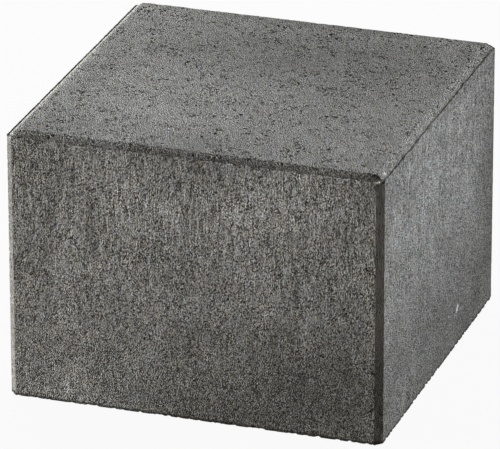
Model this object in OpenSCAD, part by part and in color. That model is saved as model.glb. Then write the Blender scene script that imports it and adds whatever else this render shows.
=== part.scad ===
// Concrete wall block, cast in one piece: a square block with a chamfer down each upright corner
// and a chamfer all the way round the top face. The underside has sharp edges.
// Millimetres. The origin is the centre of the underside, with X along the wall and Z up.

/* [Block] */
// Length along the wall
block_length = 275; // [150:1:400]
// Depth into the wall, from the front face to the back face
block_depth = 275; // [150:1:400]
// Height, which is one course of the wall
block_height = 200; // [100:1:300]

/* [Chamfers] */
// Leg of the chamfer down each upright corner, along the length and along the depth
corner_chamfer = 5; // [2:0.5:15]
// Width of the chamfer round the top face, seen from above
top_chamfer_width = 7; // [3:0.5:15]
// Height of the chamfer round the top face
top_chamfer_drop = 4; // [2:0.5:15]

/* [Hidden] */

// Half the distance across the corner chamfers, from one corner of the plan to the opposite one
half_across_corners = ((block_length + block_depth) / 2 - corner_chamfer) / sqrt(2);
// Longer than any line across the plan
run = 2 * (block_length + block_depth);

// Upright section of the block: straight sides, with the top chamfer on both shoulders
module section(half_width) {
    polygon([
        [-half_width, 0],
        [half_width, 0],
        [half_width, block_height - top_chamfer_drop],
        [half_width - top_chamfer_width, block_height],
        [top_chamfer_width - half_width, block_height],
        [-half_width, block_height - top_chamfer_drop]
    ]);
}

// Endless bar with that section. At turn 0 it runs along the depth, and a turn is counterclockwise from above.
module bar(half_width, turn) {
    rotate([90, 0, turn])
        linear_extrude(height = run, center = true)
            section(half_width);
}

// What four such bars share: two set the length and the depth, and two cut the corners
module wall_block() {
    color("dimgray")
        intersection() {
            bar(block_length / 2, 0);
            bar(block_depth / 2, 90);
            bar(half_across_corners, 45);
            bar(half_across_corners, -45);
        }
}

wall_block();
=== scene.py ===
"""The finished look of a cast concrete wall block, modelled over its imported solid, and its studio."""

import logging
import math
from dataclasses import dataclass, field
from typing import Callable

import bpy
from mathutils import Matrix, Vector


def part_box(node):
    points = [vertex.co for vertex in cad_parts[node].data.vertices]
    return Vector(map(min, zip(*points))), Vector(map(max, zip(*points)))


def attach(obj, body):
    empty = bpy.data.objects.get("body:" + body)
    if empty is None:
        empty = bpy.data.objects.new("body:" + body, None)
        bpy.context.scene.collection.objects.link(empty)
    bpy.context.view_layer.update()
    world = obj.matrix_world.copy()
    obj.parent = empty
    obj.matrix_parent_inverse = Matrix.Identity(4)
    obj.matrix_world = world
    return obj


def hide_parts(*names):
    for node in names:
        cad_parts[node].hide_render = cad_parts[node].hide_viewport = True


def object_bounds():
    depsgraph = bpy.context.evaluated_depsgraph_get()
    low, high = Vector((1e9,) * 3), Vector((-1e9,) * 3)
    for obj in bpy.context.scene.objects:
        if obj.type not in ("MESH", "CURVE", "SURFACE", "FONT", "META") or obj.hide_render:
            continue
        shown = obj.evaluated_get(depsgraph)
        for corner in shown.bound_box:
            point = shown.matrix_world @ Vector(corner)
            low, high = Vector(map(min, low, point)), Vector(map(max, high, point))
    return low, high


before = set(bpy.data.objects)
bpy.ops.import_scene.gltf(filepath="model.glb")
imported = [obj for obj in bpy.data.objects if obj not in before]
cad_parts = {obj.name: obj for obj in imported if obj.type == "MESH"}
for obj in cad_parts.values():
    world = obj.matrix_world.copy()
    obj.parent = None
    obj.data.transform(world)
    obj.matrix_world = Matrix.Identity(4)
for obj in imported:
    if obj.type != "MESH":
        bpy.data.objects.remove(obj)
SOLID_LOW, SOLID_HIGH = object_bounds()

log = logging.getLogger("wall_block")

MM = 0.001

Triple = tuple[float, float, float]

# Factors on a place, under 1 along the way that a pattern is drawn out.
EVEN: Triple = (1.0, 1.0, 1.0)
DRAWN_DOWN: Triple = (1.0, 1.0, 0.1)

# Turns every pattern's lattice, so that no face of the block lies along it.
LATTICE_TURN: Triple = (0.6, 0.35, 0.2)


# ---------------------------------------------------------------- node trees


class Value:
    """One number that varies over a surface, with the arithmetic that shader and geometry trees share."""

    def __init__(self, tree: bpy.types.NodeTree, socket: bpy.types.NodeSocket) -> None:
        """Wraps an output socket of a tree."""
        self.tree = tree
        self.socket = socket

    def math(self, operation: str, *others: "Value | float") -> "Value":
        """This value through a Math node.

        Args:
            operation: The node's operation.
            others: The second and third operands, where the operation has them.

        Returns:
            The node's result.
        """
        node = self.tree.nodes.new("ShaderNodeMath")
        node.operation = operation
        for socket, operand in zip(node.inputs, (self, *others)):
            feed(self.tree, operand, socket)
        return Value(self.tree, node.outputs[0])

    def __add__(self, other: "Value | float") -> "Value":
        """The sum."""
        return self.math("ADD", other)

    def __sub__(self, other: "Value | float") -> "Value":
        """The difference."""
        return self.math("SUBTRACT", other)

    def __mul__(self, other: "Value | float") -> "Value":
        """The product."""
        return self.math("MULTIPLY", other)

    def __neg__(self) -> "Value":
        """The value with its sign turned."""
        return self.math("MULTIPLY", -1.0)

    def ramp(
        self,
        low: "Value | float",
        high: "Value | float",
        start: "Value | float" = 0.0,
        end: "Value | float" = 1.0,
    ) -> "Value":
        """A smooth step from start at low to end at high.

        Args:
            low: The value where the step begins.
            high: The value where it ends.
            start: What comes out below the step.
            end: What comes out above it.

        Returns:
            The stepped value.
        """
        node = self.tree.nodes.new("ShaderNodeMapRange")
        node.interpolation_type = "SMOOTHSTEP"
        names = ("Value", "From Min", "From Max", "To Min", "To Max")
        for name, operand in zip(names, (self, low, high, start, end)):
            feed(self.tree, operand, node.inputs[name])
        return Value(self.tree, node.outputs["Result"])

    def within(self, low: float, high: float, soft: float) -> "Value":
        """A mask of a range of the value.

        Args:
            low: Where the range begins.
            high: Where it ends.
            soft: The width over which the mask fades outside the range.

        Returns:
            1 inside the range and 0 outside it.
        """
        return self.ramp(low - soft, low) * self.ramp(high, high + soft, 1.0, 0.0)


Operand = Value | bpy.types.NodeSocket | float | Triple | Vector


def feed(tree: bpy.types.NodeTree, source: Operand, socket: bpy.types.NodeSocket) -> None:
    """Gives a socket its value.

    Args:
        tree: The tree that holds the socket.
        source: What the socket gets: a value or an output to link, or a plain number or vector to set.
        socket: The input to feed.
    """
    if isinstance(source, Value):
        tree.links.new(source.socket, socket)
    elif isinstance(source, bpy.types.NodeSocket):
        tree.links.new(source, socket)
    else:
        socket.default_value = source


def vector_math(tree: bpy.types.NodeTree, operation: str, *operands: Operand) -> bpy.types.NodeSocket:
    """Vectors through a Vector Math node.

    Args:
        tree: The tree that gets the node.
        operation: The node's operation.
        operands: What its inputs get, in order.

    Returns:
        The node's first output.
    """
    node = tree.nodes.new("ShaderNodeVectorMath")
    node.operation = operation
    for socket, operand in zip(node.inputs, operands):
        feed(tree, operand, socket)
    return node.outputs[0]


@dataclass
class Ground:
    """Reads patterns at one place of a tree. Sizes are in metres.

    Each node is made after the nodes that it reads: a renderer has room for only so many results at a time.
    """

    tree: bpy.types.NodeTree
    place: bpy.types.NodeSocket

    def beside(self, step: Triple) -> "Ground":
        """The same patterns, moved along.

        Args:
            step: How far they are moved along each axis.

        Returns:
            The ground that reads them there.
        """
        return Ground(self.tree, vector_math(self.tree, "SUBTRACT", self.place, step))

    def axes(self) -> tuple[Value, Value, Value]:
        """The place's X, Y and Z."""
        node = self.tree.nodes.new("ShaderNodeSeparateXYZ")
        feed(self.tree, self.place, node.inputs[0])
        x, y, z = (Value(self.tree, output) for output in node.outputs)
        return x, y, z

    def scaled(self, size: float, stretch: Triple, shift: float) -> bpy.types.NodeSocket:
        """The place in units of a pattern's size, on a turned lattice.

        Args:
            size: The size of the pattern's lumps or cells.
            stretch: Factors on the place, under 1 along the way that the pattern is drawn out.
            shift: A shift of the pattern, in the same units, so that two patterns differ.

        Returns:
            The place for the pattern's own coordinates.
        """
        factors = tuple(factor / size for factor in stretch)
        place = vector_math(self.tree, "MULTIPLY_ADD", self.place, factors, (shift, shift, shift))
        turn = self.tree.nodes.new("ShaderNodeVectorRotate")
        turn.rotation_type = "EULER_XYZ"
        feed(self.tree, place, turn.inputs["Vector"])
        feed(self.tree, LATTICE_TURN, turn.inputs["Rotation"])
        return turn.outputs[0]

    def noise(
        self,
        size: float,
        detail: float = 2.0,
        rough: float = 0.5,
        stretch: Triple = EVEN,
        shift: float = 0.0,
    ) -> Value:
        """Cloudy noise about zero.

        Args:
            size: The width of its lumps.
            detail: How many finer octaves it has.
            rough: How strong the finer octaves are.
            stretch: Factors on the place, under 1 along the way that the lumps are drawn out.
            shift: A shift of the place, so that two noises differ.

        Returns:
            The noise, from -0.5 to 0.5.
        """
        place = self.scaled(size, stretch, shift)
        node = self.tree.nodes.new("ShaderNodeTexNoise")
        feed(self.tree, place, node.inputs["Vector"])
        node.inputs["Scale"].default_value = 1.0
        node.inputs["Detail"].default_value = detail
        node.inputs["Roughness"].default_value = rough
        return Value(self.tree, node.outputs[0]) - 0.5

    def cells(self, size: float) -> tuple[Value, Value]:
        """Random numbers that are each the same all over one grain.

        Args:
            size: The width of a grain.

        Returns:
            Two such numbers, each from 0 to 1.
        """
        place = self.scaled(size, EVEN, 0.0)
        node = self.tree.nodes.new("ShaderNodeTexVoronoi")
        feed(self.tree, place, node.inputs["Vector"])
        node.inputs["Scale"].default_value = 1.0
        split = self.tree.nodes.new("ShaderNodeSeparateXYZ")
        feed(self.tree, node.outputs["Color"], split.inputs[0])
        return Value(self.tree, split.outputs[0]), Value(self.tree, split.outputs[1])

    def patch(self, place: Triple, reach: Triple) -> Value:
        """A soft round mask.

        Args:
            place: Its middle.
            reach: How far it reaches from there along each axis.

        Returns:
            A mask that falls from 1 in the middle to 0 at its reach.
        """
        share = vector_math(self.tree, "DIVIDE", vector_math(self.tree, "SUBTRACT", self.place, place), reach)
        far = self.tree.nodes.new("ShaderNodeVectorMath")
        far.operation = "LENGTH"
        feed(self.tree, share, far.inputs[0])
        return Value(self.tree, far.outputs["Value"]).ramp(0.0, 1.0, 1.0, 0.0)


# ---------------------------------------------------------------- the block


@dataclass
class BlockSizes:
    """Sizes of the block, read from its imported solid, in metres."""

    length: float
    depth: float
    height: float
    corner: float
    chamfer_width: float
    chamfer_drop: float

    @classmethod
    def of_solid(cls, node: str) -> "BlockSizes":
        """Measures a packed block.

        Args:
            node: The name of its node.

        Returns:
            Its overall sizes and the sizes of its chamfers.
        """
        low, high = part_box(node)
        points = [vertex.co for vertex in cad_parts[node].data.vertices]
        hair = 0.01 * MM
        foot_front = [p.x for p in points if p.z < low.z + hair and p.y < low.y + hair]
        top = [p for p in points if p.z > high.z - hair]
        sides = [p.z for p in points if p.x > high.x - hair]
        return cls(
            length=high.x - low.x,
            depth=high.y - low.y,
            height=high.z - low.z,
            corner=high.x - max(foot_front),
            chamfer_width=high.x - max(p.x for p in top),
            chamfer_drop=high.z - max(sides),
        )


@dataclass
class Edges:
    """Distances from a place on the block to its faces, each positive inside the block.

    Attributes:
        end: To the nearer end.
        long: To the nearer of the front and the back.
        corner: To the nearest corner chamfer.
        wall: To the nearest of all these upright faces.
        top: To the top face.
        foot: To the underside.
        left: To the left end.
        back: To the back.
    """

    end: Value
    long: Value
    corner: Value
    wall: Value
    top: Value
    foot: Value
    left: Value
    back: Value

    @classmethod
    def at(cls, ground: Ground, sizes: BlockSizes) -> "Edges":
        """Measures the distances at a tree's place.

        Args:
            ground: The place.
            sizes: The block's sizes.

        Returns:
            The distances.
        """
        x, y, z = ground.axes()
        end = x.math("ABSOLUTE").math("MULTIPLY_ADD", -1.0, sizes.length / 2)
        long = y.math("ABSOLUTE").math("MULTIPLY_ADD", -1.0, sizes.depth / 2)
        corner = (end + long - sizes.corner) * math.sqrt(0.5)
        return cls(
            end=end,
            long=long,
            corner=corner,
            wall=end.math("MINIMUM", long).math("MINIMUM", corner),
            top=z.math("MULTIPLY_ADD", -1.0, sizes.height),
            foot=z,
            left=x + sizes.length / 2,
            back=y.math("MULTIPLY_ADD", -1.0, sizes.depth / 2),
        )

    def step_down(self, top: float, side: float) -> Value:
        """The top face's value, which turns into the sides' value halfway down the top chamfer."""
        return self.top.ramp(1.5 * MM, 2.5 * MM, top, side)

    def at_left(self) -> Value:
        """A mask that is 1 at the left end and 0 over the rest of the block."""
        return self.left.ramp(2.0 * MM, 5.5 * MM, 1.0, 0.0)


def apart(first: Value, second: Value) -> Value:
    """The distance to an arris, from the distances to its two faces."""
    return (first * first + second * second).math("SQRT")


def open_pores(ground: Ground) -> Value:
    """Where the surface is open, as a mask that the relief and the colour share."""
    crowd = ground.noise(16 * MM, detail=3.0, rough=0.6, shift=11.0)
    hollow = ground.noise(2.2 * MM, detail=1.0, rough=0.6, shift=81.0) + crowd * 0.4
    return hollow.ramp(0.15, 0.20)


@dataclass(frozen=True)
class Relief:
    """Sizes and depths of the cast surface, in metres. A pair is the least and the most of a value."""

    lump_size: float = 45 * MM
    lump_depth: float = 0.5 * MM
    grain_size: float = 2.6 * MM
    grain_depth: float = 0.25 * MM
    pore_depth_top: float = 0.9 * MM
    pore_depth_side: float = 0.35 * MM
    share_under: float = 0.1
    nibble_size: float = 4.5 * MM
    foot_reach: tuple[float, float] = (0.9 * MM, 3.2 * MM)
    foot_depth: tuple[float, float] = (0.05 * MM, 1.9 * MM)
    ridge_reach: float = 1.6 * MM
    ridge_depth: float = 0.9 * MM
    ridge_share_back: float = 0.3
    arris_reach: float = 1.9 * MM
    arris_depth: float = 1.8 * MM
    lip_strip: tuple[float, float] = (0.75 * MM, 0.9 * MM)
    lip_band: float = 3.6 * MM
    lip_break: float = 5.0 * MM
    lip_spared: float = 0.9
    chip_inset: Triple = (-6.0 * MM, 5.0 * MM, -1.0 * MM)
    chip_reach: Triple = (5.0 * MM, 5.0 * MM, 2.6 * MM)
    chip_depth: float = 1.6 * MM


@dataclass
class WallBlock:
    """The cast block: its shape, and the relief that the press and the mould leave on it."""

    sizes: BlockSizes
    relief: Relief = Relief()
    cell: float = 8.2 * MM
    lip_width: float = 0.4 * MM
    lip_slope: float = 0.3 * MM
    lip_height: float = 1.1 * MM
    groove_width: float = 0.6 * MM
    hold: float = 0.06 * MM
    split_levels: int = 3
    most_triangles: int = 190_000
    block: bpy.types.Object = field(init=False)

    def build(self) -> bpy.types.Object:
        """Models the block.

        Returns:
            Its object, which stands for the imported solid.
        """
        self.start_shape()
        self.press_top()
        self.map_faces()
        self.cut_cells()
        self.split_cells()
        self.apply_relief()
        self.thin_out()
        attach(self.block, "root")
        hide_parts("wall_block")
        return self.block

    @property
    def shoulder(self) -> float:
        """The height at which the top chamfer starts."""
        return self.sizes.height - self.sizes.chamfer_drop

    def start_shape(self) -> None:
        """A box up to the top of the lip, with its four upright corners cut."""
        tall = self.shoulder + self.lip_height
        bpy.ops.object.select_all(action="DESELECT")
        bpy.ops.mesh.primitive_cube_add(size=1.0, location=(0.0, 0.0, tall / 2))
        self.block = bpy.context.object
        self.block.name = self.block.data.name = "cast_block"
        self.block.scale = (self.sizes.length, self.sizes.depth, tall)
        bpy.ops.object.transform_apply(location=True, rotation=True, scale=True)
        self.edit(edges=lambda a, b: abs(a.z - b.z) > tall / 2)
        bpy.ops.mesh.bevel(offset=self.sizes.corner, segments=1)
        bpy.ops.object.mode_set(mode="OBJECT")

    def press_top(self) -> None:
        """Sinks the top inside the thin lip, leaves a groove at its foot, then raises it over the chamfer."""
        self.edit(faces=lambda centre, normal: normal.z > 0.9)
        bpy.ops.mesh.inset(thickness=self.lip_width, depth=0.0)
        bpy.ops.mesh.inset(thickness=self.lip_slope, depth=-self.lip_height)
        bpy.ops.mesh.inset(thickness=self.groove_width, depth=0.0)
        left = self.sizes.chamfer_width - self.lip_width - self.lip_slope - self.groove_width
        bpy.ops.mesh.inset(thickness=left, depth=self.sizes.chamfer_drop)
        bpy.ops.object.mode_set(mode="OBJECT")

    def map_faces(self) -> None:
        """Unwraps the plain faces, so that the colour can be baked with no seam inside a face."""
        self.block.data.uv_layers.active.name = "OFBake"
        self.edit()
        bpy.ops.uv.smart_project(angle_limit=math.radians(20.0), island_margin=0.004)
        bpy.ops.object.mode_set(mode="OBJECT")

    def cut_cells(self) -> None:
        """Cuts the faces into cells of about one size."""
        flat_length = self.sizes.length / 2 - self.sizes.chamfer_width
        flat_depth = self.sizes.depth / 2 - self.sizes.chamfer_width
        for axis, low, high, first in (
            (0, -flat_length, flat_length, 0),
            (1, -flat_depth, flat_depth, 0),
            (2, 0.0, self.shoulder, 1),
        ):
            count = round((high - low) / self.cell)
            for step in range(first, count + 1):
                place = Vector()
                place[axis] = low + (high - low) * step / count
                across = Vector()
                across[axis] = 1.0
                self.edit()
                bpy.ops.mesh.bisect(plane_co=place, plane_no=across)
        bpy.ops.object.mode_set(mode="OBJECT")

    def split_cells(self) -> None:
        """Splits each cell evenly, with every face left flat."""
        split = self.block.modifiers.new("split", "SUBSURF")
        split.subdivision_type = "SIMPLE"
        split.levels = split.render_levels = self.split_levels
        self.finish_with(split)

    def apply_relief(self) -> None:
        """Presses the cast surface's relief into the mesh."""
        press = self.block.modifiers.new("relief", "NODES")
        press.node_group = self.relief_nodes()
        self.finish_with(press)

    def thin_out(self) -> None:
        """Merges what is flat until the mesh is within its triangles, then smooths its shading."""
        self.edit()
        bpy.ops.mesh.quads_convert_to_tris(quad_method="SHORTEST_DIAGONAL")
        bpy.ops.object.mode_set(mode="OBJECT")
        count = len(self.block.data.polygons)
        if count > self.most_triangles:
            thin = self.block.modifiers.new("thin", "DECIMATE")
            thin.ratio = self.most_triangles / count
            self.finish_with(thin)
        bpy.ops.object.shade_smooth_by_angle(angle=math.radians(40.0))

    def relief_nodes(self) -> bpy.types.NodeTree:
        """The relief as a geometry tree.

        Returns:
            A tree that moves each point of the mesh into the block.
        """
        tree = bpy.data.node_groups.new("cast_relief", "GeometryNodeTree")
        tree.interface.new_socket("Mesh", in_out="INPUT", socket_type="NodeSocketGeometry")
        tree.interface.new_socket("Mesh", in_out="OUTPUT", socket_type="NodeSocketGeometry")
        place = tree.nodes.new("GeometryNodeInputPosition").outputs[0]
        normal = tree.nodes.new("GeometryNodeInputNormal").outputs[0]
        ground = Ground(tree, place)
        edges = Edges.at(ground, self.sizes)

        nibble = ground.noise(self.relief.nibble_size, detail=3.0, rough=0.7, shift=23.0)
        inward = self.cast_texture(ground, edges) + self.foot_wear(edges, nibble)
        inward = inward + self.ridge_wear(edges, nibble) + self.arris_wear(edges, nibble) + self.chip(ground)
        lip, broken = self.lip(edges), self.broken_lip(ground, edges)
        inward = inward * (lip * (broken - 1.0) * self.relief.lip_spared + 1.0)
        drop = tree.nodes.new("ShaderNodeCombineXYZ")
        feed(tree, lip * broken * -self.lip_height, drop.inputs["Z"])

        push = vector_math(tree, "MULTIPLY_ADD", normal, -inward, drop.outputs[0])
        most = Vector((self.sizes.length / 2, self.sizes.depth / 2, self.sizes.height))
        most = most - Vector((self.hold, self.hold, self.hold))
        held = vector_math(tree, "MINIMUM", vector_math(tree, "ADD", place, push), most)
        held = vector_math(tree, "MAXIMUM", held, Vector((-most.x, -most.y, 0.0)))
        move = tree.nodes.new("GeometryNodeSetPosition")
        tree.links.new(tree.nodes.new("NodeGroupInput").outputs[0], move.inputs["Geometry"])
        feed(tree, held, move.inputs["Position"])
        tree.links.new(move.outputs[0], tree.nodes.new("NodeGroupOutput").inputs[0])
        return tree

    def cast_texture(self, ground: Ground, edges: Edges) -> Value:
        """The depth of the surface's unevenness, grain and open pores."""
        relief = self.relief
        seen = edges.foot.ramp(0.1 * MM, 1.0 * MM, relief.share_under, 1.0)
        lump = ground.noise(relief.lump_size, detail=2.0, shift=3.0).math("ABSOLUTE") * relief.lump_depth
        grain = (ground.noise(relief.grain_size, detail=2.0, rough=0.7) + 0.5) * relief.grain_depth
        pores = open_pores(ground) * edges.step_down(relief.pore_depth_top, relief.pore_depth_side)
        return (lump + grain + pores) * seen

    def foot_wear(self, edges: Edges, nibble: Value) -> Value:
        """The depth of the wear along the foot."""
        foot = apart(edges.long.math("MINIMUM", edges.end), edges.foot)
        reach = nibble.ramp(-0.05, 0.25, *self.relief.foot_reach)
        return foot.ramp(0.0, reach, 1.0, 0.0) * nibble.ramp(-0.02, 0.25, *self.relief.foot_depth)

    def ridge_wear(self, edges: Edges, nibble: Value) -> Value:
        """The depth of the wear along the ridge round the top face, which is slighter at the back."""
        ridge = apart(edges.wall - self.sizes.chamfer_width, edges.top)
        wear = ridge.ramp(0.0, self.relief.ridge_reach, 1.0, 0.0)
        wear = wear * nibble.ramp(-0.1, 0.3, 0.0, self.relief.ridge_depth)
        return wear * edges.back.ramp(7.5 * MM, 12.5 * MM, self.relief.ridge_share_back, 1.0)

    def arris_wear(self, edges: Edges, nibble: Value) -> Value:
        """The depth of the wear along the upper left arris."""
        arris = apart(edges.end, edges.top - self.sizes.chamfer_drop)
        depth = nibble.ramp(-0.03, 0.12, 0.0, self.relief.arris_depth)
        return arris.ramp(0.0, self.relief.arris_reach, 1.0, 0.0) * depth * edges.at_left()

    def lip(self, edges: Edges) -> Value:
        """Where the lip is: the outermost strip of the top chamfer's band."""
        outermost = edges.wall.ramp(*self.relief.lip_strip, 1.0, 0.0)
        return outermost * edges.top.within(0.0, self.relief.lip_band, 0.1 * MM)

    def broken_lip(self, ground: Ground, edges: Edges) -> Value:
        """Where the lip is gone: here and there all round, and wholly at the corners and on the left end."""
        broken = ground.noise(self.relief.lip_break, detail=3.0, rough=0.7, shift=31.0).ramp(-0.06, 0.08)
        broken = broken.math("MAXIMUM", edges.corner.ramp(0.8 * MM, 2.0 * MM, 1.0, 0.0))
        return broken.math("MAXIMUM", edges.at_left())

    def chip(self, ground: Ground) -> Value:
        """The depth of the chip in the near upper corner."""
        corner = Vector((self.sizes.length / 2, -self.sizes.depth / 2, self.sizes.height))
        place = tuple(corner + Vector(self.relief.chip_inset))
        return ground.patch(place, self.relief.chip_reach) * self.relief.chip_depth

    def edit(
        self,
        faces: Callable[[Vector, Vector], bool] | None = None,
        edges: Callable[[Vector, Vector], bool] | None = None,
    ) -> None:
        """Opens the block in edit mode with part of it selected, or all of it.

        Args:
            faces: Tells by a face's centre and normal whether it is selected.
            edges: Tells by an edge's two ends whether it is selected.
        """
        bpy.context.view_layer.objects.active = self.block
        if bpy.context.mode != "OBJECT":
            bpy.ops.object.mode_set(mode="OBJECT")
        mesh = self.block.data
        chosen = "DESELECT" if faces or edges else "SELECT"
        bpy.ops.object.mode_set(mode="EDIT")
        bpy.ops.mesh.select_mode(type="EDGE" if edges else "FACE")
        bpy.ops.mesh.select_all(action=chosen)
        if chosen == "SELECT":
            return
        bpy.ops.object.mode_set(mode="OBJECT")
        for face in mesh.polygons if faces else ():
            face.select = faces(face.center, face.normal)
        for edge in mesh.edges if edges else ():
            edge.select = edges(*(mesh.vertices[end].co for end in edge.vertices))
        bpy.ops.object.mode_set(mode="EDIT")

    def finish_with(self, modifier: bpy.types.Modifier) -> None:
        """Applies a modifier to the block's mesh."""
        name = modifier.name
        bpy.ops.object.select_all(action="DESELECT")
        self.block.select_set(True)
        bpy.context.view_layer.objects.active = self.block
        bpy.ops.object.modifier_apply(modifier=name)
        mesh = self.block.data
        log.info("after %s: %d points, %d faces", name, len(mesh.vertices), len(mesh.polygons))


# ---------------------------------------------------------------- the finish


@dataclass(frozen=True)
class Cloud:
    """A soft patch that is paler, darker or warmer than round it. Its lengths are in millimetres."""

    name: str
    place: tuple[float, float, float]
    reach: tuple[float, float, float]
    gain: float
    warmth: float = 0.0

    def mask(self, ground: Ground) -> Value:
        """The patch over a surface, as a mask."""
        return ground.patch(tuple(Vector(self.place) * MM), tuple(Vector(self.reach) * MM))


# These patches are partly painted shade and painted light for the broad falloff over each face, partly the
# block's own mottling: above all the darker lower right of the front, the darker low and back part of the
# right end, and the darker back and paler front of the top.
CLOUDS = (
    Cloud("front, low right", (95, -137, 15), (150, 40, 90), -0.45),
    Cloud("front, right middle", (105, -137, 55), (75, 40, 50), -0.25),
    Cloud("front, low middle", (20, -137, 0), (60, 40, 45), -0.25),
    Cloud("front, high middle", (50, -137, 168), (70, 40, 45), 0.32),
    Cloud("front, upper half", (10, -137, 148), (150, 40, 46), 0.16),
    Cloud("front, low left", (-88, -137, 12), (42, 40, 30), 0.22),
    Cloud("front, low right end", (131, -137, 8), (14, 40, 34), 0.30),
    Cloud("front, high left", (-50, -137, 162), (28, 40, 35), 0.30),
    Cloud("front, left end", (-130, -137, 130), (46, 40, 170), -0.22),
    Cloud("front, right end", (100, -137, 185), (50, 40, 35), 0.16),
    Cloud("front, upper right", (112, -137, 122), (32, 40, 26), 0.16),
    Cloud("front, below the middle", (38, -137, 84), (30, 40, 14), 0.15),
    Cloud("front, lower half", (0, -137, 45), (190, 40, 70), -0.08),
    Cloud("front, foot", (-20, -137, 8), (75, 40, 18), -0.22),
    Cloud("front, lower right", (60, -137, 30), (85, 40, 26), -0.12),
    Cloud("front, upper left", (-104, -137, 184), (44, 40, 26), -0.12),
    Cloud("front, under the chamfer", (-20, -137, 192), (110, 40, 14), -0.12),
    Cloud("front, right of centre", (50, -137, 110), (25, 40, 50), 0.15),
    Cloud("front, left of centre", (-98, -137, 75), (25, 40, 30), 0.18),
    Cloud("front, smudge low left", (-75, -137, 58), (24, 40, 26), -0.16),
    Cloud("front, smudge high left", (-70, -137, 145), (18, 40, 30), -0.14),
    Cloud("front, smudge high middle", (13, -137, 142), (16, 40, 20), -0.16),
    Cloud("front, smudge high right", (73, -137, 141), (16, 40, 20), -0.18),
    Cloud("front, smudge low right", (50, -137, 61), (22, 40, 18), -0.20),
    Cloud("right end, low", (137, 80, -5), (40, 340, 150), -0.60),
    Cloud("right end, back", (137, 142, 120), (40, 85, 170), -0.66),
    Cloud("right end, high", (137, -80, 140), (40, 120, 80), 0.20),
    Cloud("right end, near edge", (137, -127, 105), (40, 22, 60), 0.16),
    Cloud("right end, low band", (137, 10, 45), (40, 120, 26), -0.16),
    Cloud("right end, near low corner", (137, -128, 35), (40, 22, 45), 0.32),
    Cloud("top, back", (-10, 85, 200), (110, 110, 30), -0.38),
    Cloud("top, back edge", (10, 135, 200), (170, 24, 30), -0.42),
    Cloud("top, left of centre", (-60, 58, 200), (45, 35, 30), -0.12),
    Cloud("top, middle", (0, 30, 200), (60, 50, 30), -0.10),
    Cloud("top, front chamfer's left end", (-118, -135, 198), (24, 7, 8), -0.25),
    Cloud("top, front edge", (-70, -128, 200), (90, 18, 30), 0.22),
    Cloud("top, front half", (0, -85, 200), (170, 50, 30), 0.12),
    Cloud("top, back right", (80, 70, 200), (110, 120, 30), -0.45),
    Cloud("top, front left", (-60, -40, 200), (120, 90, 30), 0.22),
    Cloud("top, front", (-60, -95, 200), (70, 60, 30), 0.12),
    Cloud("top, left edge", (-129, -40, 200), (14, 150, 30), 0.22),
    # Painted highlight on the left upright chamfer, where the left lamp falls.
    Cloud("left corner, its chamfer", (-137, -137, 75), (7, 7, 150), 0.60),
    Cloud("near corner, its chamfer", (135, -135, 60), (9, 9, 300), 0.0, 0.7),
    # Painted shade in the hollow of the chip.
    Cloud("near corner, chip", (131.5, -134.0, 199.2), (5.5, 5.5, 3.4), -0.80),
    # Painted highlight on the nick and its tip at the near upper corner.
    Cloud("near corner, white nick", (133.3, -135.1, 195.9), (2.8, 2.4, 1.2), 6.0),
    Cloud("near corner, white nick's tip", (132.0, -137.4, 196.1), (2.0, 2.2, 0.9), 2.4),
    Cloud("near corner, white flecks", (133.4, -122.3, 197.6), (2.0, 3.4, 1.6), 2.2),
    Cloud("right end, white mark", (137.5, 46.2, 29.2), (6.0, 3.6, 3.6), 4.5),
    Cloud("right end, white mark's foot", (137.5, 44.0, 26.4), (6.0, 3.4, 3.2), 4.0),
    Cloud("right end, white mark's tail", (137.5, 39.2, 24.2), (6.0, 2.2, 3.0), 1.2),
)


@dataclass(frozen=True)
class Strengths:
    """How strong each pattern is on one kind of face: a share of the paste's tone, or a height in metres.

    Attributes:
        sand: Grains of sand.
        speck: The finest specks.
        grit: Coarser specks.
        mottle: Soft mottling.
        blot: Blots some millimetres wide.
        cloud: Clouds some centimetres wide.
        drag: Thin streaks down the face.
        band: Broad streaks down the face.
        pore: The painted shade inside the open pores.
        fleck: Pale grains.
        pit: The painted shade inside small pits.
        pit_edge: How rare the pits are.
        emboss: The lit and the shaded side of each grain.
        rim: The lit rims of the pits.
        brightest: The most by which the fine patterns may lighten the tone.
        lift: What is added to the tone after that.
        calm: The strength of the fine patterns where the face is calm.
        deep_speck, deep_grit, deep_drag, deep_pore: The heights of these patterns in the bump.
    """

    sand: float
    speck: float
    grit: float
    mottle: float
    blot: float
    cloud: float
    drag: float
    band: float
    pore: float
    fleck: float
    pit: float
    pit_edge: float
    emboss: float
    rim: float
    brightest: float
    lift: float
    calm: float
    deep_speck: float
    deep_grit: float
    deep_drag: float
    deep_pore: float


SIDE = Strengths(
    sand=0.3,
    speck=0.4,
    grit=0.1,
    mottle=0.0,
    blot=0.35,
    cloud=0.9,
    drag=2.0,
    band=0.95,
    pore=0.4,
    fleck=0.3,
    pit=5.0,
    pit_edge=0.14,
    emboss=5.0,
    rim=0.8,
    brightest=0.9,
    lift=0.02,
    calm=0.7,
    deep_speck=1.2 * MM,
    deep_grit=0.0 * MM,
    deep_drag=0.38 * MM,
    deep_pore=0.4 * MM,
)
TOP = Strengths(
    sand=0.9,
    speck=0.9,
    grit=0.4,
    mottle=0.3,
    blot=0.9,
    cloud=0.5,
    drag=0.0,
    band=0.0,
    pore=1.5,
    fleck=0.5,
    pit=6.0,
    pit_edge=0.14,
    emboss=14.0,
    rim=0.8,
    brightest=1.0,
    lift=0.035,
    calm=0.95,
    deep_speck=1.2 * MM,
    deep_grit=1.2 * MM,
    deep_drag=0.0 * MM,
    deep_pore=1.0 * MM,
)


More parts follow.
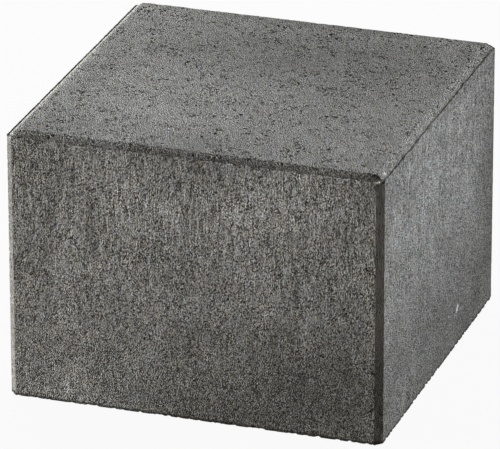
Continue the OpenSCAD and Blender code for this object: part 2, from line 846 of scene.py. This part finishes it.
@dataclass
class Coat:
    """A material's tree in the making: its place on the block, and what its colour and its bump share."""

    side: Strengths
    top: Strengths
    ground: Ground
    edges: Edges
    on_top: Value
    sand: Value
    tint: Value
    speck: Value
    grit: Value
    drag: Value
    drawn: Value
    blot: Value
    pore: Value
    fleck: Value

    def level(self, name: str) -> Value:
        """A pattern's strength by the kind of face.

        Args:
            name: The pattern's field in Strengths.

        Returns:
            The sides' strength, which turns into the top's on the top face.
        """
        side, top = getattr(self.side, name), getattr(self.top, name)
        return self.on_top * (top - side) + side

    def to_right(self) -> Value:
        """A mask of the block's right half."""
        return self.ground.axes()[0].ramp(-20 * MM, 20 * MM)

    def under_top(self) -> Value:
        """A mask of the band that the top chamfer takes up on the sides."""
        return self.edges.top.within(1.5 * MM, 5.0 * MM, 0.5 * MM)

    def upper(self) -> Value:
        """A mask of the top face and the top chamfer."""
        return self.under_top().math("MAXIMUM", self.on_top)

    def broken(self) -> Value:
        """A mask that breaks up the lines along the edges."""
        return self.ground.noise(5.0 * MM, detail=3.0, rough=0.7, shift=33.0).ramp(-0.10, 0.15)


@dataclass(frozen=True)
class PressedConcrete:
    """Dark grey pressed concrete: sand and paste, open pores, and streaks where the mould was drawn off."""

    sizes: BlockSizes
    side: Strengths = SIDE
    top: Strengths = TOP
    paste: Triple = (0.208, 0.209, 0.204)
    dust: Triple = (0.0075, 0.0055, 0.0)
    darkest: float = 0.06
    gloss: float = 0.3
    roughness: float = 0.9
    sand_size: float = 0.7 * MM
    speck_size: float = 0.65 * MM
    speck_edge: float = 0.06
    grit_size: float = 1.4 * MM
    emboss_size: float = 0.64 * MM
    emboss_long: float = 0.6
    lit_step: float = 0.45 * MM
    mottle_size: float = 2.6 * MM
    drag_size: float = 0.9 * MM
    band_size: float = 3.5 * MM
    blot_size: float = 6.0 * MM
    cloud_size: float = 30 * MM
    fleck_size: float = 1.5 * MM
    pit_size: float = 0.85 * MM
    patch_size: float = 9.0 * MM
    coarse: float = 1.3
    corner_calm: float = 0.45
    groove_shadow: float = 0.95
    left_chamfer_highlight: float = 0.95
    rim_shade: float = 0.9
    end_chamfer: float = 0.2
    end_fleck: float = 1.8
    lip_highlight: float = 0.5
    ridge: float = 0.65
    chamfer_gain: float = -0.28
    foot_shadow: float = 0.8
    shady_grain: float = 1.5
    warm_size: float = 6.0 * MM
    olive_size: float = 4.0 * MM
    fine_hue: float = 1.0
    wide_hue: float = 2.2
    warm_red: float = 0.10
    olive_green: float = 0.06
    warm_blue: float = -0.16

    def dress(self, piece: bpy.types.Object) -> None:
        """Gives a piece this finish."""
        material = bpy.data.materials.new("pressed_concrete")
        material.use_nodes = True
        tree = material.node_tree
        shader = tree.nodes["Principled BSDF"]
        shader.inputs["Specular IOR Level"].default_value = self.gloss
        shader.inputs["Roughness"].default_value = self.roughness
        coat = self.start_coat(tree)
        tone = self.fine_grain(coat)
        tone = self.add_patches(coat, tone)
        tone = self.add_end_lines(coat, tone)
        tone = self.add_front_lines(coat, tone)
        self.colour(coat, tone, shader.inputs["Base Color"])
        self.bump(coat, shader.inputs["Normal"])
        piece.data.materials.clear()
        piece.data.materials.append(material)
        log.info("%s wears %s, with %d nodes", piece.name, material.name, len(tree.nodes))

    def start_coat(self, tree: bpy.types.NodeTree) -> Coat:
        """The patterns that the colour and the bump share.

        Args:
            tree: The material's tree.

        Returns:
            The tree's coat, with nothing linked to the shader yet.
        """
        ground = Ground(tree, tree.nodes.new("ShaderNodeTexCoord").outputs["Object"])
        edges = Edges.at(ground, self.sizes)
        sand, tint = ground.cells(self.sand_size)
        return Coat(
            side=self.side,
            top=self.top,
            ground=ground,
            edges=edges,
            on_top=edges.step_down(1.0, 0.0),
            sand=sand,
            tint=tint,
            speck=ground.noise(self.speck_size, detail=0.0, stretch=(1.0, 0.65, 1.0), shift=41.0),
            grit=ground.noise(self.grit_size, detail=0.0, shift=43.0),
            drag=ground.noise(self.drag_size, detail=0.0, rough=0.6, stretch=DRAWN_DOWN, shift=51.0),
            drawn=edges.foot.ramp(50 * MM, 160 * MM, 0.45, 1.0),
            blot=ground.noise(self.blot_size, detail=1.0, rough=0.6, shift=61.0),
            pore=open_pores(ground),
            fleck=ground.noise(self.fleck_size, detail=0.5, shift=85.0).ramp(0.22, 0.34),
        )

    def fine_grain(self, coat: Coat) -> Value:
        """The tone of the sand, the specks, the painted shade of the pits and the painted light on their rims
        and on the grains' lit sides, calm in places and coarse in others.

        Args:
            coat: The coat.

        Returns:
            The tone, as what is added to the paste's share of 1.
        """
        ground, level = coat.ground, coat.level
        # emboss paints the lit and the shaded side of each grain into the tone: painted light and painted
        # shade.
        lit = ground.beside((self.lit_step, self.lit_step, 0.0))
        long = (1.0, 1.0, self.emboss_long)
        rough = ground.noise(self.emboss_size, detail=0.0, stretch=long, shift=47.0)
        emboss = lit.noise(self.emboss_size, detail=0.0, stretch=long, shift=47.0) - rough
        mottle = ground.noise(self.mottle_size, detail=1.0, rough=0.6, shift=45.0)
        sandy = coat.sand.ramp(0.3, 0.7) - 0.5
        speckle = coat.speck.ramp(-self.speck_edge - 0.03, self.speck_edge) - 0.55
        gritty = coat.grit.ramp(-0.20, 0.06) - 0.6
        bare = coat.blot * -0.35 - level("pit_edge")
        # pit is painted shade inside small pits, and rim the painted light on their far walls.
        pit = (ground.noise(self.pit_size, detail=1.0, shift=87.0) + bare).ramp(0.0, 0.05)
        rim = (lit.noise(self.pit_size, detail=1.0, shift=87.0) + bare).ramp(0.0, 0.05)

        tone = sandy * level("sand") + speckle * level("speck")
        tone = tone + gritty * level("grit") + mottle * level("mottle")
        tone = tone - pit * level("pit") + coat.fleck * level("fleck")
        tone = tone + emboss * level("emboss") + rim * level("rim")
        patch = ground.noise(self.patch_size, detail=2.0, rough=0.6, stretch=(1.0, 1.0, 0.7), shift=65.0)
        strength = (patch - coat.blot * 0.5).ramp(-0.15, 0.17, level("calm"), self.coarse)
        return tone.math("MINIMUM", level("brightest")) * strength + level("lift")

    def add_patches(self, coat: Coat, tone: Value) -> Value:
        """The tone with its blots, clouds and streaks, and the painted shade inside the open pores."""
        cloud = coat.ground.noise(self.cloud_size, detail=2.0, shift=71.0)
        band = coat.ground.noise(self.band_size, detail=1.0, rough=0.6, stretch=DRAWN_DOWN, shift=55.0)
        tone = tone + coat.blot * coat.level("blot") + cloud * coat.level("cloud")
        tone = tone + (coat.drag * coat.level("drag") + band * coat.level("band")) * coat.drawn
        # Painted shade inside the open pores.
        return tone - coat.pore * coat.level("pore")

    def add_end_lines(self, coat: Coat, tone: Value) -> Value:
        """The tone with its calm corners, the painted shadow of the lip in the groove along the right end's
        upper edge, and the painted highlight and painted shade along the left end's upper edge.
        """
        end, to_right = coat.edges.end, coat.to_right()
        on_corner = coat.edges.corner.ramp(0.2 * MM, 0.7 * MM, 1.0, 0.0)
        tone = tone * (on_corner * (self.corner_calm - 1.0) + 1.0)
        # Painted shadow of the lip, darkening the groove along the right end's upper edge.
        groove_shadow = end.within(0.5 * MM, 1.7 * MM, 0.2 * MM) * coat.under_top()
        tone = tone - groove_shadow * to_right * self.groove_shadow
        left = to_right.ramp(0.0, 1.0, 1.0, 0.0) * coat.upper()
        # Painted highlight along the left end's upper chamfer.
        tone = tone + end.within(2.2 * MM, 4.6 * MM, 0.4 * MM) * left * self.left_chamfer_highlight
        # Painted shade along the left end's outer rim, broken up along its length.
        rim = end.ramp(1.2 * MM, 2.0 * MM, 1.0, 0.0) * left
        tone = tone - rim * coat.broken().ramp(0.0, 1.0, 0.45, 1.0) * self.rim_shade
        chamfer = end.within(2.0 * MM, self.sizes.chamfer_width, 0.5 * MM) * coat.upper()
        return tone + chamfer * to_right * (coat.fleck * self.end_fleck + self.end_chamfer)

    def add_front_lines(self, coat: Coat, tone: Value) -> Value:
        """The tone with the painted highlight along the top of the front's lip, and with the line along the
        ridge over it.
        """
        edges = coat.edges
        lip = edges.long.ramp(0.35 * MM, 0.5 * MM, 1.0, 0.0) * edges.top.within(2.5 * MM, 3.9 * MM, 0.2 * MM)
        # Painted highlight along the top of the lip, on the right half.
        tone = tone + lip * coat.to_right() * self.lip_highlight
        ridge = apart(edges.long - self.sizes.chamfer_width, edges.top).ramp(0.4 * MM, 1.3 * MM, 1.0, 0.0)
        return tone - ridge * coat.broken() * self.ridge

    def colour(self, coat: Coat, tone: Value, socket: bpy.types.NodeSocket) -> None:
        """Shades the tone with the clouds, the darker chamfer strips and the painted contact shadow along the
        foot, and tints it.

        Args:
            coat: The coat.
            tone: Its tone.
            socket: The shader's colour.
        """
        ground, edges = coat.ground, coat.edges
        warm = ground.noise(self.warm_size, detail=3.0, rough=0.7, shift=91.0) * self.wide_hue
        warm = (coat.tint - 0.5) * self.fine_hue + warm
        olive = ground.noise(self.olive_size, detail=3.0, rough=0.7, shift=95.0) * self.wide_hue
        # The front and back chamfer strips are darker away from the left end: partly a darker skin, partly
        # painted shade.
        chamfer = edges.long.within(0.8 * MM, self.sizes.chamfer_width, 0.2 * MM) * coat.upper()
        shade = chamfer * ground.axes()[0].ramp(-130 * MM, -20 * MM) * self.chamfer_gain + 1.0
        for patch in CLOUDS:
            mask = patch.mask(ground)
            shade = shade * (mask * patch.gain + 1.0)
            warm = warm + mask * patch.warmth if patch.warmth else warm
        # Painted contact shadow along the foot, beside the upright faces.
        beside_foot = edges.wall.ramp(3.0 * MM, 6.0 * MM, 1.0, 0.0)
        shade = shade * (edges.foot.ramp(1.5 * MM, 2.7 * MM, -self.foot_shadow, 0.0) * beside_foot + 1.0)
        tone = tone * shade.ramp(0.3, 1.0, self.shady_grain, 1.0)
        tone = (tone + 1.0).math("MAXIMUM", self.darkest) * shade
        join = ground.tree.nodes.new("ShaderNodeCombineColor")
        hues = (warm * self.warm_red, olive * self.olive_green, warm * self.warm_blue)
        for part, paste, dust, hue in zip(join.inputs, self.paste, self.dust, hues):
            feed(ground.tree, tone * paste * (hue + 1.0) + dust, part)
        feed(ground.tree, join.outputs[0], socket)

    def bump(self, coat: Coat, socket: bpy.types.NodeSocket) -> None:
        """Adds the finest relief, which is too small for the mesh.

        Args:
            coat: The coat.
            socket: The shader's normal.
        """
        tree, level = coat.ground.tree, coat.level
        height = coat.speck * level("deep_speck") + coat.grit * level("deep_grit")
        height = height + coat.drag * coat.drawn * level("deep_drag") - coat.pore * level("deep_pore")
        bump = tree.nodes.new("ShaderNodeBump")
        bump.inputs["Distance"].default_value = 1.0
        bump.inputs["Strength"].default_value = 1.0
        feed(tree, height, bump.inputs["Height"])
        feed(tree, bump.outputs[0], socket)


# ---------------------------------------------------------------- the studio


def outward(azimuth: float, elevation: float) -> Vector:
    """A direction out from the block.

    Args:
        azimuth: The angle from the front towards the right end.
        elevation: The angle above the ground.

    Returns:
        The direction, of length 1.
    """
    level = math.cos(elevation)
    return Vector((math.sin(azimuth) * level, -math.cos(azimuth) * level, math.sin(elevation)))


@dataclass(frozen=True)
class Lamp:
    """A soft box that points at the block, in metres, degrees and watts."""

    name: str
    azimuth: float
    elevation: float
    away: float
    width: float
    tall: float
    power: float
    colour: Triple

    def hang(self, target: Vector) -> None:
        """Makes the lamp.

        Args:
            target: The point that it faces.
        """
        out = outward(math.radians(self.azimuth), math.radians(self.elevation))
        bpy.ops.object.light_add(type="AREA", location=target + out * self.away)
        lamp = bpy.context.object
        lamp.name = self.name
        lamp.rotation_euler = (-out).to_track_quat("-Z", "Y").to_euler()
        lamp.data.shape = "RECTANGLE"
        lamp.data.size = self.width
        lamp.data.size_y = self.tall
        lamp.data.energy = self.power
        lamp.data.color = self.colour
        log.info("%s hangs %.1f m away", lamp.name, self.away)


@dataclass(frozen=True)
class Studio:
    """A pale floor, soft boxes and a camera. The camera's places are in thousandths of the block's length."""

    target: Vector
    floor_side: float = 14.0
    floor_grey: float = 0.30
    floor_white: float = 0.94
    ambient: float = 0.10
    ambient_colour: Triple = (1.06, 1.0, 0.90)
    lamps: tuple[Lamp, ...] = (
        Lamp("left_box", -68.0, 4.0, 1.8, 0.9, 0.4, 54.8, (1.03, 1.01, 0.978)),
        Lamp("right_back_box", 130.0, 12.0, 1.8, 0.9, 0.9, 40.0, (0.965, 0.985, 1.03)),
        Lamp("back_box", 205.0, 40.0, 1.8, 0.9, 0.9, 33.0, (0.99, 1.0, 1.01)),
    )
    camera_azimuth: float = 18.613
    camera_elevation: float = 22.958
    camera_roll: float = -0.093
    camera_aim: Triple = (500.0, 450.0, 350.0)
    camera_away: Triple = (1.47, 7.94, 14996.0)
    camera_lens: float = 417.6216
    camera_film: float = 36.0
    camera_sees: float = 100.0

    def build(self) -> None:
        """Makes everything round the block."""
        self.lay_floor()
        self.fill_world()
        for lamp in self.lamps:
            lamp.hang(self.target)
        self.place_camera()
        bpy.context.scene.view_settings.view_transform = "Standard"

    def lay_floor(self) -> None:
        """The pale floor, which shows white to the camera with the block's shadow on it."""
        bpy.ops.mesh.primitive_plane_add(size=self.floor_side)
        floor = bpy.context.object
        floor.name = "floor"
        material = bpy.data.materials.new("pale_floor")
        material.use_nodes = True
        tree = material.node_tree
        tree.nodes.clear()
        path = tree.nodes.new("ShaderNodeLightPath")
        kinds = ("Is Camera Ray", "Is Glossy Ray", "Is Transmission Ray")
        camera, glossy, clear = (Value(tree, path.outputs[kind]) for kind in kinds)
        seen = camera.math("MAXIMUM", glossy).math("MAXIMUM", clear)
        matt = tree.nodes.new("ShaderNodeBsdfDiffuse")
        matt.inputs["Color"].default_value = (self.floor_grey, self.floor_grey, self.floor_grey, 1.0)
        white = tree.nodes.new("ShaderNodeEmission")
        white.inputs["Color"].default_value = (1.0, 1.0, 1.0, 1.0)
        white.inputs["Strength"].default_value = 1.0
        mix = tree.nodes.new("ShaderNodeMixShader")
        feed(tree, seen * self.floor_white, mix.inputs["Fac"])
        tree.links.new(matt.outputs[0], mix.inputs[1])
        tree.links.new(white.outputs[0], mix.inputs[2])
        out = tree.nodes.new("ShaderNodeOutputMaterial")
        tree.links.new(mix.outputs[0], out.inputs["Surface"])
        floor.data.materials.append(material)

    def fill_world(self) -> None:
        """A dim even light from all round, which the camera sees as white."""
        world = bpy.data.worlds.new("studio")
        bpy.context.scene.world = world
        world.use_nodes = True
        tree = world.node_tree
        path = tree.nodes.new("ShaderNodeLightPath")
        seen = Value(tree, path.outputs["Is Camera Ray"])
        back = tree.nodes["Background"]
        tint = tree.nodes.new("ShaderNodeMix")
        tint.data_type = "RGBA"
        feed(tree, seen, tint.inputs["Factor"])
        tint.inputs["A"].default_value = (*self.ambient_colour, 1.0)
        tint.inputs["B"].default_value = (1.0, 1.0, 1.0, 1.0)
        tree.links.new(tint.outputs["Result"], back.inputs["Color"])
        feed(tree, seen * (1.0 - self.ambient) + self.ambient, back.inputs["Strength"])

    def place_camera(self) -> None:
        """A long lens in front of the block, a little to the right and above it."""
        azimuth, roll = math.radians(self.camera_azimuth), math.radians(self.camera_roll)
        back = outward(azimuth, math.radians(self.camera_elevation))
        right = Vector((math.cos(azimuth), math.sin(azimuth), 0.0))
        up = back.cross(right)
        turned_right = right * math.cos(roll) + up * math.sin(roll)
        turned_up = up * math.cos(roll) - right * math.sin(roll)
        unit = (SOLID_HIGH.x - SOLID_LOW.x) / 1000.0
        aim = Vector(SOLID_LOW) + Vector(self.camera_aim) * unit
        to_right, above, away = self.camera_away
        eye = aim + (turned_right * to_right + turned_up * above + back * away) * unit
        bpy.ops.object.camera_add(location=eye)
        camera = bpy.context.object
        turn = Matrix((turned_right, turned_up, back)).transposed()
        camera.matrix_world = Matrix.Translation(eye) @ turn.to_4x4()
        camera.data.sensor_width = self.camera_film
        camera.data.lens = self.camera_lens
        camera.data.clip_end = self.camera_sees
        bpy.context.scene.camera = camera


def main() -> None:
    """Builds the block, its finish and its studio, and notes its size."""
    logging.basicConfig(level=logging.INFO, format="%(name)s: %(message)s")
    sizes = BlockSizes.of_solid("wall_block")
    block = WallBlock(sizes).build()
    log.info("%s has %d triangles", block.name, len(block.data.polygons))
    PressedConcrete(sizes).dress(block)
    Studio(target=(SOLID_LOW + SOLID_HIGH) / 2).build()


if __name__ == "__main__":
    main()
